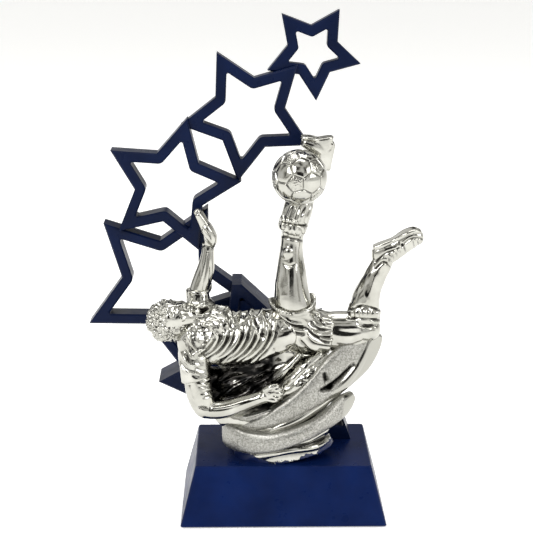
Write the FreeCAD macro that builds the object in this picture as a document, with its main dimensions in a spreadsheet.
"""Football trophy: a player in an overhead kick, on a swirl of water, before a tower of five open stars.

Frame: millimetres, +Z up, the front of the trophy faces -Y, and the origin is the centre of the
underside of the felt. The blue plinth and stars are cast resin. The player is a second, plated casting,
built from limbs pegged and cemented together and bolted down through the plinth.
"""
import FreeCAD
import Part
import Sketcher
import math
import os
from FreeCAD import Placement, Rotation, Vector

doc = FreeCAD.newDocument("football_trophy")
sheet = doc.addObject("Spreadsheet::Sheet", "dims")
cells = {}


def dims(prefix, **values):
    """Adds a group of driving dimensions, in millimetres or degrees, as cells named prefix_key."""
    for key, value in values.items():
        alias = f"{prefix}_{key}"
        row = len(cells) + 1
        sheet.set(f"A{row}", alias)
        sheet.set(f"B{row}", str(value))
        sheet.setAlias(f"B{row}", alias)
        cells[alias] = float(value)


def bind(obj, **properties):
    """Binds properties to expressions over the sheet; a double underscore stands for a dot."""
    for name, expression in properties.items():
        obj.setExpression(name.replace("__", "."), expression)
    return obj


def add(kind, name, **properties):
    """A document object with its sizes bound to the sheet."""
    return bind(doc.addObject(kind, name), **properties)


def move_to(obj, x, y, z, rotation=Rotation()):
    """Places an object: the turn is fixed, the place follows the sheet."""
    obj.Placement = Placement(Vector(0, 0, 0), rotation)
    return bind(obj, Placement__Base__x=x, Placement__Base__y=y, Placement__Base__z=z)


def cut(name, base, *tools):
    """base less each tool in turn."""
    for count, tool in enumerate(tools):
        last = count == len(tools) - 1
        step = doc.addObject("Part::Cut", name if last else f"{name}_cut{count}")
        step.Base, step.Tool = base, tool
        base = step
    return base


def fuse(name, *shapes):
    """The union of shapes."""
    joined = doc.addObject("Part::MultiFuse", name)
    joined.Shapes = list(shapes)
    return joined


def common(name, first, second):
    """What two shapes share."""
    shared = doc.addObject("Part::Common", name)
    shared.Base, shared.Tool = first, second
    return shared


def group(name, *shapes):
    """Loose shapes that are one node."""
    compound = doc.addObject("Part::Compound", name)
    compound.Links = list(shapes)
    return compound


def block(name, x, y, z, length, width, height):
    """A box with its low corner at x, y, z. All six are expressions."""
    box = add("Part::Box", name, Length=length, Width=width, Height=height)
    return move_to(box, x, y, z)


def rod(name, radius, length, x, y, z, along=Vector(0, 0, 1)):
    """A cylinder that starts at x, y, z and runs along a direction. All but the direction are expressions."""
    cylinder = add("Part::Cylinder", name, Radius=radius, Height=length)
    return move_to(cylinder, x, y, z, Rotation(Vector(0, 0, 1), along))


def ellipsoid(name, x, y, z, half_x, half_y, half_z):
    """An ellipsoid at x, y, z with its half sizes. All six are expressions."""
    egg = add("Part::Ellipsoid", name, Radius1=half_z, Radius2=half_x, Radius3=half_y)
    egg.Angle1, egg.Angle2, egg.Angle3 = -90, 90, 360
    return move_to(egg, x, y, z)


ALONG_X = Vector(1, 0, 0)
ALONG_Y = Vector(0, 1, 0)
ALONG_Z = Vector(0, 0, 1)

# ---------------------------------------------------------------- driving dimensions
dims("base", width=96, depth=68, height=28, lean=7, corner=1.5, edge=0.8)
dims("felt", thick=0.8, inset=2, corner=3)
dims("well", dia=13, deep=14)
dims("bolt", dia=5, across=8, head=3.5, reach=13, x=1, y=-9.5, clearance=0.2)
dims("washer", dia=11, high=1)
dims("screw", dia=3, head_dia=6, head=1.8, reach=5, left=-13, right=22, y=16, well_dia=8)
dims("bar", width=4.8, chamfer=0.7, tip_round=0.8)
# Each star: centre, tip radius, notch radius, angle of its first tip, front face, thickness and inner rounding.
dims("foot", x=-5.2, z=59.2, tip=54.1, notch=27.6, turn=181.5, front=6, thick=20, corner=4)
dims("second", x=-54.4, z=104.9, tip=42.4, notch=21.9, turn=134.6, front=11, thick=10.5, corner=4)
dims("third", x=-51.8, z=153.1, tip=32.8, notch=17.0, turn=148.2, front=8, thick=10, corner=3.5)
dims("fourth", x=-15.7, z=186.5, tip=31.9, notch=17.1, turn=117, front=11, thick=8, corner=3.5)
dims("top", x=14.1, z=214.8, tip=22.6, notch=12.1, turn=130, front=14, thick=7, corner=2.2)
dims("footing", left=-24.0, right=33.4, top=33.6, trim_x=22.4, trim_z=59.9, trim_lean=19.2, trim_long=60)
dims("rib", left=-24, right=-11.2, low=80, high=98, front=7.2, thick=16.8)
dims("blunt", z=106.4)
dims("stub", x=20, low=60, high=87.9)
dims("lap", low=14.5, high=16.5, slot_fold=21.4, pin_dia=1.5, pin_length=6)
dims("peg", dia=1.6, length=10)
dims("ball", x=7.2, y=-11, z=161.5, radius=12.5)
dims("fist", x=-4.8, y=-22, z=62.6, half_x=5.2, half_y=4.4, half_z=4.8)
dims("elbow", x=-37.2, y=-20, z=55.5, half_x=5.3, half_y=5, half_z=5.3)
# Dowel places in the star laps.
dims("dowel0", x=-20.8, z=99.6)
dims("dowel1", x=-42.5, z=133.3)
dims("dowel2", x=-44.6, z=181.9)
dims("dowel3", x=2.9, z=206.6)


# ---------------------------------------------------------------- sketches
def origin_plane(body, role):
    """One of the body's own origin planes."""
    return next(feature for feature in body.Origin.OriginFeatures if feature.Role == role)


def new_body(label):
    body = doc.addObject("PartDesign::Body", label)
    return body


def new_sketch(body, name, role, lift=None):
    """A sketch on one of the body's origin planes; lift is an expression along the plane's normal."""
    sketch = body.newObject("Sketcher::SketchObject", name)
    sketch.AttachmentSupport = [(origin_plane(body, role), "")]
    sketch.MapMode = "FlatFace"
    if lift:
        sketch.setExpression(".AttachmentOffset.Base.z", lift)
    return sketch


def rule(sketch, *values, name=None, expression=None):
    """A constraint, with its value driven by an expression where one is given."""
    index = sketch.addConstraint(Sketcher.Constraint(*values))
    if name:
        sketch.renameConstraint(index, name)
        sketch.setExpression(f"Constraints.{name}", expression)


def outline(sketch, corners):
    """A closed outline. corners: (x, y, x expression, y expression) in order round it."""
    count = len(corners)
    points = [Vector(x, y, 0) for x, y, _, _ in corners]
    for index in range(count):
        sketch.addGeometry(Part.LineSegment(points[index], points[(index + 1) % count]), False)
    for index in range(count):
        rule(sketch, "Coincident", index, 2, (index + 1) % count, 1)
    for index, (x, y, x_rule, y_rule) in enumerate(corners):
        rule(sketch, "DistanceX", -1, 1, index, 1, x, name=f"x{index}", expression=x_rule)
        rule(sketch, "DistanceY", -1, 1, index, 1, y, name=f"y{index}", expression=y_rule)


def rectangle(sketch, half_x, half_y, x_rule, y_rule):
    """A rectangle about the origin, from its half sizes."""
    corners = []
    for sign_x, sign_y in ((-1, -1), (1, -1), (1, 1), (-1, 1)):
        corners.append((sign_x * half_x, sign_y * half_y, f"{sign_x} * ({x_rule})", f"{sign_y} * ({y_rule})"))
    outline(sketch, corners)


def circle(sketch, index, x_rule, y_rule, dia_rule):
    """A circle whose centre and diameter follow expressions."""
    sketch.addGeometry(Part.Circle(Vector(1 + index * 30, 5, 0), Vector(0, 0, 1), 2), False)
    rule(sketch, "DistanceX", -1, 1, index, 3, 1.0, name=f"x{index}", expression=x_rule)
    rule(sketch, "DistanceY", -1, 1, index, 3, 5.0, name=f"y{index}", expression=y_rule)
    rule(sketch, "Diameter", index, 4.0, name=f"dia{index}", expression=dia_rule)


def edges_where(feature, test):
    """The names of a feature's edges that pass a test."""
    doc.recompute()
    return [f"Edge{index + 1}" for index, edge in enumerate(feature.Shape.Edges) if test(edge)]


def dress(body, kind, base, test, **sizes):
    """A fillet or chamfer on the edges of base that pass a test."""
    names = edges_where(base, test)
    feature = body.newObject(f"PartDesign::{kind}", f"{body.Name}_{kind}{len(body.Group)}")
    feature.Base = (base, names)
    body.Tip = feature
    return bind(feature, **sizes)


# ---------------------------------------------------------------- base_plinth
# A tapered block of cast resin. Three round wells in its underside take the fastenings.
plinth = new_body("base_plinth")
plinth_plan = new_sketch(plinth, "plinth_plan", "XY_Plane")
rectangle(plinth_plan, 48, 34, "dims.base_width / 2", "dims.base_depth / 2")
plinth_block = plinth.newObject("PartDesign::Pad", "plinth_block")
plinth_block.Profile = plinth_plan
bind(plinth_block, Length="dims.base_height - dims.felt_thick",
     TaperAngle="-1 * atan(dims.base_lean / (dims.base_height - dims.felt_thick))")


def is_corner(edge):
    """The four leaning corner edges of the plinth."""
    low, high = sorted(vertex.Z for vertex in edge.Vertexes)
    return high - low > 10


def is_rim(edge):
    """The edges round the plinth's top."""
    return min(vertex.Z for vertex in edge.Vertexes) > cells["base_height"] - cells["felt_thick"] - 0.01


plinth_corners = dress(plinth, "Fillet", plinth_block, is_corner, Radius="dims.base_corner")
plinth_rim = dress(plinth, "Fillet", plinth_corners, is_rim, Radius="dims.base_edge")
well_plan = new_sketch(plinth, "well_plan", "XY_Plane")
circle(well_plan, 0, "dims.bolt_x", "dims.bolt_y", "dims.well_dia")
circle(well_plan, 1, "dims.screw_left", "dims.screw_y", "dims.screw_well_dia")
circle(well_plan, 2, "dims.screw_right", "dims.screw_y", "dims.screw_well_dia")
wells = plinth.newObject("PartDesign::Pocket", "wells")
wells.Profile = well_plan
wells.Reversed = True
bind(wells, Length="dims.well_deep")
hole_plan = new_sketch(plinth, "hole_plan", "XY_Plane")
circle(hole_plan, 0, "dims.bolt_x", "dims.bolt_y", "dims.bolt_dia + dims.bolt_clearance")
circle(hole_plan, 1, "dims.screw_left", "dims.screw_y", "dims.screw_dia + dims.bolt_clearance")
circle(hole_plan, 2, "dims.screw_right", "dims.screw_y", "dims.screw_dia + dims.bolt_clearance")
holes = plinth.newObject("PartDesign::Pocket", "holes")
holes.Profile = hole_plan
holes.Reversed = True
bind(holes, Length="dims.base_height")
plinth.Tip = holes
move_to(plinth, "0", "0", "dims.felt_thick")

# ---------------------------------------------------------------- base_felt
# A thin pad glued over the underside and its wells.
felt = new_body("base_felt")
felt_plan = new_sketch(felt, "felt_plan", "XY_Plane")
rectangle(felt_plan, 46, 32, "dims.base_width / 2 - dims.felt_inset", "dims.base_depth / 2 - dims.felt_inset")
felt_pad = felt.newObject("PartDesign::Pad", "felt_pad")
felt_pad.Profile = felt_plan
bind(felt_pad, Length="dims.felt_thick")


def is_upright(edge):
    """Edges that stand along Z."""
    first, last = edge.Vertexes[0].Point, edge.Vertexes[-1].Point
    return abs(first.z - last.z) > 0.1


dress(felt, "Fillet", felt_pad, is_upright, Radius="dims.felt_corner")


# ---------------------------------------------------------------- the five stars
def star(prefix):
    """An open star: one chevron-shaped arm, repeated round the centre, then rounded and chamfered."""
    tip, notch, width = cells[f"{prefix}_tip"], cells[f"{prefix}_notch"], cells["bar_width"]
    slope = "atan2(NOTCH * sin(36deg); TIP - NOTCH * cos(36deg))"
    inner_tip = f"(TIP - dims.bar_width / sin({slope}))"
    inner_notch = f"(NOTCH - dims.bar_width / sin({slope} + 36deg))"
    bite = math.atan2(notch * math.sin(math.radians(36)), tip - notch * math.cos(math.radians(36)))
    low_tip = tip - width / math.sin(bite)
    low_notch = notch - width / math.sin(bite + math.radians(36))
    cos36, sin36 = math.cos(math.radians(36)), math.sin(math.radians(36))
    corners = [
        (tip, 0, "TIP", "0"),
        (notch * cos36, notch * sin36, "NOTCH * cos(36deg)", "NOTCH * sin(36deg)"),
        (low_notch * cos36, low_notch * sin36, f"{inner_notch} * cos(36deg)", f"{inner_notch} * sin(36deg)"),
        (low_tip, 0, inner_tip, "0"),
        (low_notch * cos36, -low_notch * sin36, f"{inner_notch} * cos(36deg)", f"-1 * {inner_notch} * sin(36deg)"),
        (notch * cos36, -notch * sin36, "NOTCH * cos(36deg)", "-1 * NOTCH * sin(36deg)"),
    ]
    named = []
    for x, y, x_rule, y_rule in corners:
        rules = [text.replace("TIP", f"dims.{prefix}_tip").replace("NOTCH", f"dims.{prefix}_notch")
                 for text in (x_rule, y_rule)]
        named.append((x, y, rules[0], rules[1]))
    body = new_body(f"{prefix}_frame")
    arm_plan = new_sketch(body, f"{prefix}_arm_plan", "XZ_Plane")
    outline(arm_plan, named)
    arm = body.newObject("PartDesign::Pad", f"{prefix}_arm")
    arm.Profile = arm_plan
    arm.Reversed = True
    bind(arm, Length=f"dims.{prefix}_thick")
    ring = body.newObject("PartDesign::PolarPattern", f"{prefix}_ring")
    ring.Originals = [arm]
    ring.Axis = (arm_plan, ["N_Axis"])
    ring.Angle = 360
    ring.Occurrences = 5
    body.Tip = ring

    def at_radius(wanted):
        """Picks the edges along Y at a distance from the star's centre."""
        def test(edge):
            spots = [vertex.Point for vertex in edge.Vertexes]
            return (abs(spots[0].y - spots[-1].y) > 1
                    and all(abs(math.hypot(spot.x, spot.z) - wanted) < 0.05 for spot in spots))
        return test

    rounded = dress(body, "Fillet", ring, at_radius(low_tip), Radius="dims.bar_tip_round")
    rounded = dress(body, "Fillet", rounded, at_radius(low_notch), Radius=f"dims.{prefix}_corner")
    dress(body, "Chamfer", rounded, lambda edge: edge.BoundBox.YMax < 0.01, Size="dims.bar_chamfer")
    doc.recompute()
    move_to(body, f"dims.{prefix}_x", f"dims.{prefix}_front", f"dims.{prefix}_z")
    body.Placement = Placement(body.Placement.Base, Rotation(Vector(0, -1, 0), cells[f"{prefix}_turn"]))
    return bind(body, Placement__Rotation__Angle=f"dims.{prefix}_turn * 1deg")


foot_frame = star("foot")
second_frame = star("second")
third_frame = star("third")
fourth_frame = star("fourth")
top_frame = star("top")

# ---------------------------------------------------------------- star_foot
# The thickest star. It is cut level where it stands, closed underneath by a footing, trimmed on the right and
# blunted at the top, where a rib also stiffens its arm. The arm behind the player's hips stops short.
footing = block("footing", "dims.footing_left", "dims.foot_front", "dims.base_height",
                "dims.footing_right - dims.footing_left", "dims.foot_thick",
                "dims.footing_top - dims.base_height")
below = block("below", "-120", "-60", "dims.base_height - 60", "240", "120", "60")
trim = add("Part::Box", "trim", Length="60", Width="80", Height="dims.footing_trim_long")
move_to(trim, "dims.footing_trim_x + dims.footing_trim_long * sin(dims.footing_trim_lean * 1deg)", "-20",
        "dims.footing_trim_z - dims.footing_trim_long * cos(dims.footing_trim_lean * 1deg)",
        Rotation(Vector(0, -1, 0), cells["footing_trim_lean"]))
above = block("above", "-120", "-60", "dims.blunt_z", "240", "120", "40")
rib = block("rib", "dims.rib_left", "dims.rib_front", "dims.rib_low", "dims.rib_right - dims.rib_left",
            "dims.rib_thick", "dims.rib_high - dims.rib_low")
beyond = block("beyond", "dims.stub_x", "-20", "dims.stub_low", "60", "80", "60")
stub_end = block("stub_end", "dims.stub_x - dims.bar_width", "dims.foot_front", "dims.stub_low", "dims.bar_width",
                 "dims.foot_thick", "dims.stub_high - dims.stub_low")
foot_whole = cut("foot_whole", fuse("foot_joined", foot_frame, footing, rib, stub_end), below, trim, above, beyond)

# ---------------------------------------------------------------- star laps
# Where two stars cross, the front one keeps the front of the crossing and the rear one keeps the rest.
behind_low = block("behind_low", "-150", "dims.lap_low", "-20", "300", "60", "300")
behind_high = block("behind_high", "-150", "dims.lap_high", "-20", "300", "60", "300")
before_low = block("before_low", "-150", "dims.lap_low - 60", "-20", "300", "60", "300")
before_high = block("before_high", "-150", "dims.lap_high - 60", "-20", "300", "60", "300")


def lap(front_star, rear_star, behind, before):
    """The two tools of a half lap: what the front star loses and what the rear star loses."""
    pair = f"{front_star.Name}_{rear_star.Name}"
    return (common(f"{pair}_rear", rear_star, behind), common(f"{pair}_front", front_star, before))


foot_lap, second_foot_lap = lap(foot_whole, second_frame, behind_high, before_high)
third_lap, second_third_lap = lap(third_frame, second_frame, behind_low, before_low)
third_rear_lap, fourth_lap = lap(third_frame, fourth_frame, behind_low, before_low)
fourth_rear_lap, top_lap = lap(fourth_frame, top_frame, behind_high, before_high)
# The foot star is deeper than its neighbour, so its slot runs on to its back, where the neighbour slides in.
slot_end = doc.addObject("Part::Mirroring", "slot_end")
slot_end.Source = foot_lap
slot_end.Normal = Vector(0, 1, 0)
bind(slot_end, Base__y="dims.lap_slot_fold")


# ---------------------------------------------------------------- star_lap_dowels
# A steel pin runs front to back through each lap.
def dowel(name, index, centre):
    """A pin along Y through one lap, half on each side of the lap's plane."""
    return rod(name, "dims.lap_pin_dia / 2", "dims.lap_pin_length", f"dims.dowel{index}_x",
               f"{centre} - dims.lap_pin_length / 2", f"dims.dowel{index}_z", ALONG_Y)


dowels = [dowel("dowel0", 0, "dims.lap_high"), dowel("dowel1", 1, "dims.lap_low"),
          dowel("dowel2", 2, "dims.lap_low"), dowel("dowel3", 3, "dims.lap_high")]
group("star_lap_dowels", *dowels)

# ---------------------------------------------------------------- star_anchor_screws
# Two pan-head screws come up through the plinth into the footing of the tower.
screws = []
for side in ("left", "right"):
    spot = (f"dims.screw_{side}", "dims.screw_y")
    head = rod(f"screw_head_{side}", "dims.screw_head_dia / 2", "dims.screw_head", *spot,
               "dims.felt_thick + dims.well_deep - dims.screw_head")
    shank = rod(f"screw_shank_{side}", "dims.screw_dia / 2",
                "dims.base_height + dims.screw_reach - dims.felt_thick - dims.well_deep", *spot,
                "dims.felt_thick + dims.well_deep")
    screws.append(fuse(f"screw_{side}", head, shank))
group("star_anchor_screws", *screws)

cut("star_foot", foot_whole, foot_lap, slot_end, dowels[0], *screws)
cut("star_second", second_frame, second_foot_lap, second_third_lap, dowels[0], dowels[1])
cut("star_third", third_frame, third_lap, third_rear_lap, dowels[1], dowels[2])
cut("star_fourth", fourth_frame, fourth_lap, fourth_rear_lap, dowels[2], dowels[3])
cut("star_top", top_frame, top_lap, dowels[3])


# ---------------------------------------------------------------- limbs
def ring(name, section, along, hint):
    """An elliptical section square to a direction, its long axis lying towards the hint."""
    along = Vector(along).normalize()
    across = along.cross(Vector(hint)).normalize()
    long_way = across.cross(along)
    oval = add("Part::Ellipse", name, MajorRadius=f"dims.{section}_long", MinorRadius=f"dims.{section}_short")
    return move_to(oval, f"dims.{section}_x", f"dims.{section}_y", f"dims.{section}_z",
                   Rotation(long_way, along.cross(long_way), along, "ZXY"))


def limb(name, hint, sections, along=None):
    """A solid lofted through sections (x, y, z, long, short), each square to the path unless along is given."""
    spots = [Vector(*section[:3]) for section in sections]
    rings = []
    for index, (x, y, z, long, short) in enumerate(sections):
        key = f"{name}{index}"
        dims(key, x=x, y=y, z=z, long=long, short=short)
        path = spots[min(index + 1, len(spots) - 1)] - spots[max(index - 1, 0)]
        rings.append(ring(f"{key}_ring", key, along or path, hint))
    loft = doc.addObject("Part::Loft", name)
    loft.Sections = rings
    loft.Solid = True
    return loft


# ---------------------------------------------------------------- torso_shirt
# Trunk with both short sleeves, lying on its back. It runs from the waist to the root of the neck.
trunk = limb("trunk", ALONG_Z, [
    (1.5, -6, 88, 9.8, 8.5), (-9, -6, 86.3, 11.6, 9.8), (-20, -6.5, 84.3, 12.9, 11),
    (-31, -7.5, 84.3, 15.4, 11.5), (-39, -8.5, 87, 13, 10.5), (-45, -9.5, 90.5, 6.5, 6)], along=ALONG_X)
rear_sleeve = limb("rear_sleeve", ALONG_X, [(-38.7, -3, 92, 6, 5.5), (-39.4, -2, 99.5, 5.7, 5.3),
                                            (-39.8, -1, 106, 5, 4.7)])
front_sleeve = limb("front_sleeve", ALONG_X, [(-39.6, -13, 87, 7, 6), (-41, -16.5, 79, 6.8, 6),
                                              (-40.8, -18, 72, 6.4, 5.6)])
torso = fuse("torso_whole", trunk, rear_sleeve, front_sleeve)

# ---------------------------------------------------------------- hips_shorts
# Hips with the two open legs of the shorts. The front of the waist tucks under the shirt.
waist = limb("waist", ALONG_Z, [
    (1.5, -6, 88, 9.8, 8.5), (9, -6, 88.4, 10.7, 9.4), (17, -6, 87.6, 10.5, 9.4),
    (25.5, -6, 86.5, 10.2, 8.8)], along=ALONG_X)
upper_hem = limb("upper_hem", ALONG_X, [(7.5, -6, 90, 11, 9), (5.5, -6, 98, 10.4, 8.9),
                                        (4.5, -6, 104.5, 10.9, 9.4)])
hips = cut("hips_whole", fuse("hips_joined", waist, upper_hem), torso)

# ---------------------------------------------------------------- kicking_leg
# Thigh, sock and boot, straight up. The boot is bent over the ball, sole upwards.
kicking_shank = limb("kicking_shank", ALONG_X, [
    (6, -6, 94, 8.5, 7.5), (4.2, -6, 104, 8.3, 7.6), (4, -5, 114, 7.2, 7), (3.9, -4, 126, 5.5, 5.4),
    (4.1, -4, 134, 5.9, 5.8), (5.5, -3, 141, 6.5, 6.2), (8, -1, 150, 6, 5.8),
    (12, 1.5, 158.5, 4.9, 4.7), (15.8, 3, 165.2, 4.5, 4.4), (17.5, 3, 171, 4.2, 4)])
kicking_boot = limb("kicking_boot", ALONG_Z, [
    (24.4, 3, 172.2, 3.4, 3.2), (20.5, 3, 172.6, 4.9, 4), (14, 2.5, 174.2, 4.2, 4),
    (9, 2, 175.8, 2.6, 2.5)])

# ---------------------------------------------------------------- trailing_leg
# Thigh outwards, shin up, boot upside down with the toe outwards.
trailing_thigh = limb("trailing_thigh", ALONG_Z, [
    (19, -6, 86.5, 9.2, 8.2), (28, -6, 86.3, 8.8, 8.2), (36, -6, 87.5, 7.4, 7), (41, -6, 89, 5.4, 5.2)])
trailing_shin = limb("trailing_shin", ALONG_X, [
    (39.4, -6, 84.5, 5.2, 5), (39.0, -6, 89.5, 6.4, 6.2), (37.8, -6, 97, 7.1, 6.4), (38.6, -6, 104, 6.2, 6),
    (40.6, -6, 112, 5.2, 5), (44.2, -6, 120, 3.9, 3.8), (46, -6, 125.5, 3.6, 3.5)])
trailing_boot = limb("trailing_boot", ALONG_Z, [
    (41.6, -6, 125.7, 3.3, 3.2), (47, -6, 127, 4.9, 3.8), (54, -6, 130.4, 4.6, 4.2),
    (60, -6, 132.2, 3.5, 3.4), (64.6, -6, 132.8, 1.6, 1.5)])

# ---------------------------------------------------------------- football
# A solid cast ball that sits in a hollow in the instep.
ball = add("Part::Sphere", "ball", Radius="dims.ball_radius")
move_to(ball, "dims.ball_x", "dims.ball_y", "dims.ball_z")
kicking = cut("kicking_whole", fuse("kicking_joined", kicking_shank, kicking_boot), hips, ball)
trailing = cut("trailing_whole", fuse("trailing_joined", trailing_thigh, trailing_shin, trailing_boot), hips)

# ---------------------------------------------------------------- head
# Skull and neck in one, leaning back from the shoulders.
skull = limb("skull", ALONG_Z, [
    (-39.8, -9.8, 93.4, 5, 4.8), (-44, -10, 94.2, 8.6, 7.8), (-50, -10, 94.6, 10.2, 9.4),
    (-56, -10, 94.6, 9.6, 9), (-60.6, -10, 94.4, 6.6, 6.2), (-63, -10, 94.3, 2.4, 2.3)], along=ALONG_X)
neck = limb("neck", ALONG_Z, [(-41, -9, 89, 5.6, 5.4), (-49, -9.7, 93, 5.4, 5.2)])
head = cut("head_whole", fuse("head_joined", skull, neck), torso)

# ---------------------------------------------------------------- raised_arm
# Bare forearm out of the rear sleeve, with a flat open hand.
raised = cut("raised_whole", limb("raised", ALONG_X, [
    (-40, -1, 101, 4.3, 4.1), (-39, 0, 107, 4.3, 4.1), (-36.3, 0.5, 114, 4.1, 3.8),
    (-35, 0.5, 121, 3.3, 3.1), (-34.7, 0.5, 126, 2.9, 2.5), (-34.3, 1, 131.5, 4.2, 2.3),
    (-36.6, 1, 137, 3.6, 1.9), (-39.6, 1, 142.4, 1.8, 1.3)]), torso)

# ---------------------------------------------------------------- propping_arm
# Upper arm down from the front sleeve, bent at the elbow, with a closed fist.
prop_upper = limb("prop_upper", ALONG_X, [(-41, -17.7, 75, 5.4, 5), (-39.8, -19, 66, 5.8, 5.2),
                                          (-38, -20, 57, 5.4, 5)])
prop_elbow = ellipsoid("prop_elbow", "dims.elbow_x", "dims.elbow_y", "dims.elbow_z",
                       "dims.elbow_half_x", "dims.elbow_half_y", "dims.elbow_half_z")
prop_lower = limb("prop_lower", ALONG_Z, [(-37, -20, 55, 5, 4.8), (-30, -20.5, 55.2, 4.9, 4.6),
                                          (-22.4, -21, 57.3, 4, 3.8), (-11, -22, 60.2, 3, 2.9),
                                          (-6, -22, 62, 3.4, 3.2)])
fist = ellipsoid("fist", "dims.fist_x", "dims.fist_y", "dims.fist_z",
                 "dims.fist_half_x", "dims.fist_half_y", "dims.fist_half_z")
propping = cut("propping_whole", fuse("propping_joined", prop_upper, prop_elbow, prop_lower, fist), torso)

# ---------------------------------------------------------------- stump
# The column of water under the player. It stands on the plinth and carries the trunk and hips.
column = cut("column_whole", limb("column", ALONG_X, [
    (1.1, -9.5, 28, 23.8, 15.2), (0, -9.5, 36, 22.5, 15), (-1, -9, 46, 23, 14.6),
    (-3, -7.5, 56, 30, 12), (-4.5, -6, 66, 34, 10), (-3, -6, 79, 33, 9)], along=ALONG_Z),
    torso, hips, propping, trailing)

# ---------------------------------------------------------------- lower_wave
# A matte band of water round the front of the column, ending in a free tip on the right.
lower = cut("lower_whole", limb("lower", ALONG_Z, [
    (-27, -2, 39, 5.2, 2), (-25.5, -12, 39.5, 6, 3), (-16, -22.5, 40, 6.2, 3.4),
    (-1, -26, 41, 6.4, 3.6), (14, -24, 44, 6.6, 3.6), (26, -16, 48.5, 6.8, 3.4),
    (33.5, -8, 53, 5.2, 2.6)]), column, propping)

# ---------------------------------------------------------------- upper_wave
# A second band, from under the forearm up to the trailing knee.
upper = cut("upper_whole", limb("upper", ALONG_Z, [
    (-27, -12, 49, 3.5, 2.2), (-17, -20, 50.5, 4.6, 3), (-4, -22.5, 54, 5.5, 3.4),
    (10, -22, 59, 6.5, 3.6), (23, -17, 66, 8, 3.8), (34, -10, 75, 8, 3.6),
    (41.5, -6, 84, 6, 3)]), column, lower, propping, hips, trailing)


# ---------------------------------------------------------------- pegs
def peg(name, x, y, z, along, length=None):
    """A pin that starts at x, y, z and holds two castings together."""
    dims(name, x=x, y=y, z=z)
    return rod(f"{name}_rod", "dims.peg_dia / 2", length or "dims.peg_length",
               f"dims.{name}_x", f"dims.{name}_y", f"dims.{name}_z", along)


neck_peg = peg("neck_pin", -50.5, -9.3, 91.5, ALONG_X)
rear_arm_peg = peg("rear_arm_pin", -39.4, -0.6, 101, ALONG_Z)
front_arm_peg = peg("front_arm_pin", -40.6, -18.3, 67, ALONG_Z)
waist_peg = peg("waist_pin", -3.5, -6, 87.5, ALONG_X)
upper_leg_peg = peg("upper_leg_pin", 4.4, -6, 99.5, ALONG_Z)
side_leg_peg = peg("side_leg_pin", 20.5, -6, 86.3, ALONG_X)
ball_peg = peg("ball_pin", 10.2, -4.2, 161, Vector(5.8, 13, -1), "8")
left_column_peg = peg("left_column_pin", -14, -6, 68, ALONG_Z)
right_column_peg = peg("right_column_pin", 9, -6, 72.5, ALONG_Z)
lower_wave_peg = peg("lower_wave_pin", -4, -27, 41, ALONG_Y)
upper_wave_peg = peg("upper_wave_pin", 0, -24, 55.5, ALONG_Y)
group("neck_peg", neck_peg)
group("arm_pegs", rear_arm_peg, front_arm_peg)
group("waist_peg", waist_peg)
group("leg_pegs", upper_leg_peg, side_leg_peg)
group("ball_peg", ball_peg)
group("column_pegs", left_column_peg, right_column_peg)
group("wave_pegs", lower_wave_peg, upper_wave_peg)

# ---------------------------------------------------------------- figure_washer, figure_bolt
# A hexagon-head bolt in the middle well draws the column down onto the plinth.
washer_disc = rod("washer_disc", "dims.washer_dia / 2", "dims.washer_high", "dims.bolt_x", "dims.bolt_y",
                  "dims.felt_thick + dims.well_deep - dims.washer_high")
washer_hole = rod("washer_hole", "(dims.bolt_dia + dims.bolt_clearance) / 2", "dims.washer_high", "dims.bolt_x",
                  "dims.bolt_y", "dims.felt_thick + dims.well_deep - dims.washer_high")
cut("figure_washer", washer_disc, washer_hole)
bolt_head = add("Part::Prism", "bolt_head", Circumradius="dims.bolt_across / 2 / cos(30deg)",
                Height="dims.bolt_head")
bolt_head.Polygon = 6
move_to(bolt_head, "dims.bolt_x", "dims.bolt_y",
        "dims.felt_thick + dims.well_deep - dims.washer_high - dims.bolt_head")
bolt_shank = rod("bolt_shank", "dims.bolt_dia / 2",
                 "dims.base_height + dims.bolt_reach - dims.felt_thick - dims.well_deep + dims.washer_high",
                 "dims.bolt_x", "dims.bolt_y", "dims.felt_thick + dims.well_deep - dims.washer_high")
bolt = fuse("figure_bolt", bolt_head, bolt_shank)

# ---------------------------------------------------------------- the castings with their peg holes
cut("torso_shirt", torso, neck_peg, rear_arm_peg, front_arm_peg, waist_peg, left_column_peg)
cut("hips_shorts", hips, waist_peg, upper_leg_peg, side_leg_peg, right_column_peg)
cut("head", head, neck_peg)
cut("raised_arm", raised, rear_arm_peg)
cut("propping_arm", propping, front_arm_peg)
cut("kicking_leg", kicking, upper_leg_peg, ball_peg)
cut("trailing_leg", trailing, side_leg_peg)
cut("football", ball, ball_peg)
cut("stump", column, left_column_peg, right_column_peg, lower_wave_peg, upper_wave_peg, bolt)
cut("lower_wave", lower, lower_wave_peg)
cut("upper_wave", upper, upper_wave_peg)

# ---------------------------------------------------------------- check and write every sub-part
NODES = [
    "base_plinth", "base_felt", "star_foot", "star_second", "star_third", "star_fourth", "star_top",
    "star_lap_dowels", "star_anchor_screws", "stump", "lower_wave", "upper_wave", "torso_shirt",
    "hips_shorts", "head", "raised_arm", "propping_arm", "kicking_leg", "trailing_leg", "football",
    "neck_peg", "arm_pegs", "waist_peg", "leg_pegs", "ball_peg", "column_pegs", "wave_pegs",
    "figure_bolt", "figure_washer",
]
doc.recompute()
for feature in doc.Objects:
    if "Invalid" in feature.State or "Error" in feature.State:
        raise RuntimeError(f"{feature.Name} failed: {feature.State}")
os.makedirs("parts", exist_ok=True)
for node in NODES:
    feature = doc.getObject(node)
    feature.Label = node
    shape = feature.Shape
    if shape.isNull() or not shape.isValid():
        raise RuntimeError(f"{node} has a bad shape")
    shape.exportStep(f"parts/{node}.step")
    print(f"{node:20s} solids {len(shape.Solids)}  volume {shape.Volume:9.1f}")
